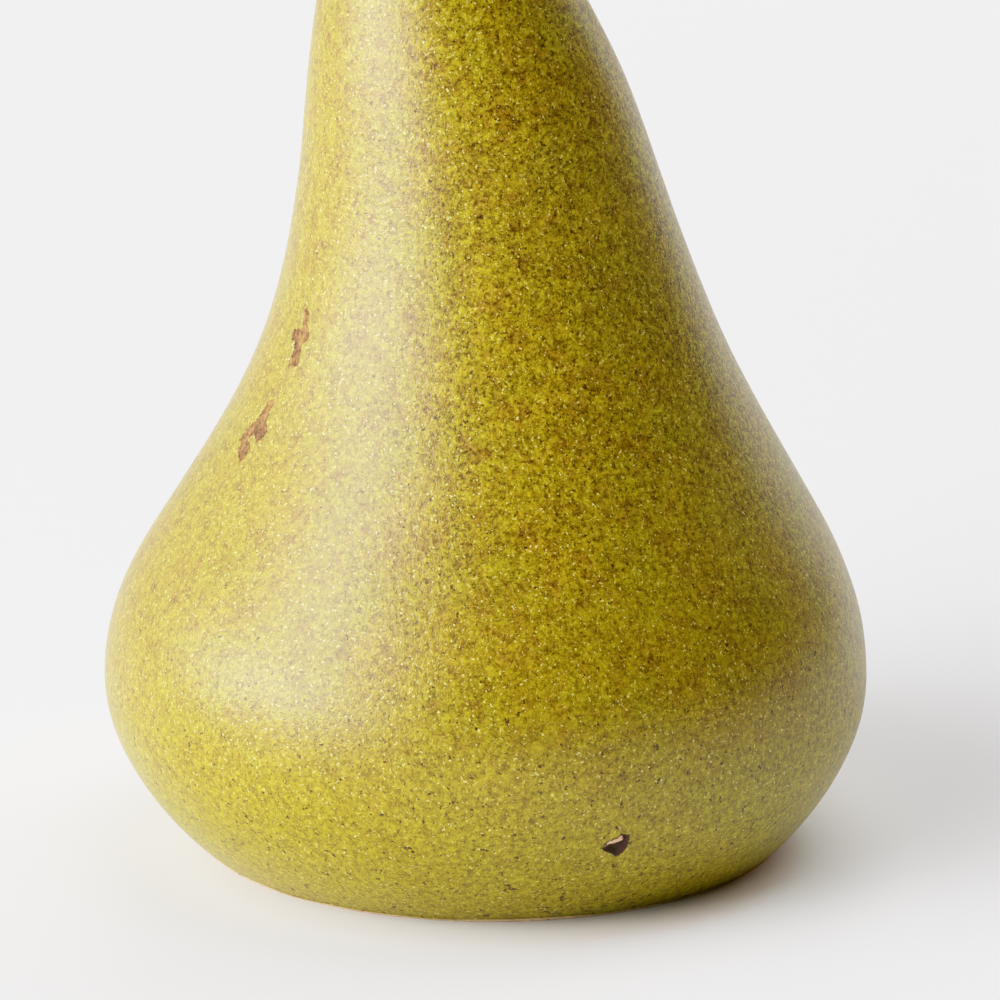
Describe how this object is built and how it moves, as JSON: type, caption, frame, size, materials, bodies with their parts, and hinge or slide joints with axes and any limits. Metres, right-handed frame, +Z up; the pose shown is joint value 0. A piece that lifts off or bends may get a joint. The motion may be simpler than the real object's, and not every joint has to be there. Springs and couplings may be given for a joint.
{
  "type": "glazed stoneware pear",
  "caption": "Hollow pear-shaped stoneware ornament with a speckled satin glaze and a twig stem, standing on a broad flat foot.",
  "frame": {"origin": "on the surface that the pear stands on, under the middle of its belly", "axes": "+Z up through the neck to the stem, -X the way the neck leans, +Y away from the side that is seen first"},
  "size_m": [0.086, 0.086, 0.1382],
  "materials": {
    "glaze": "satin speckled",
    "twig": "dry bark"
  },
  "bodies": {
    "root": {"pear_body": "glaze", "stem": "twig"}
  },
  "joints": []
}
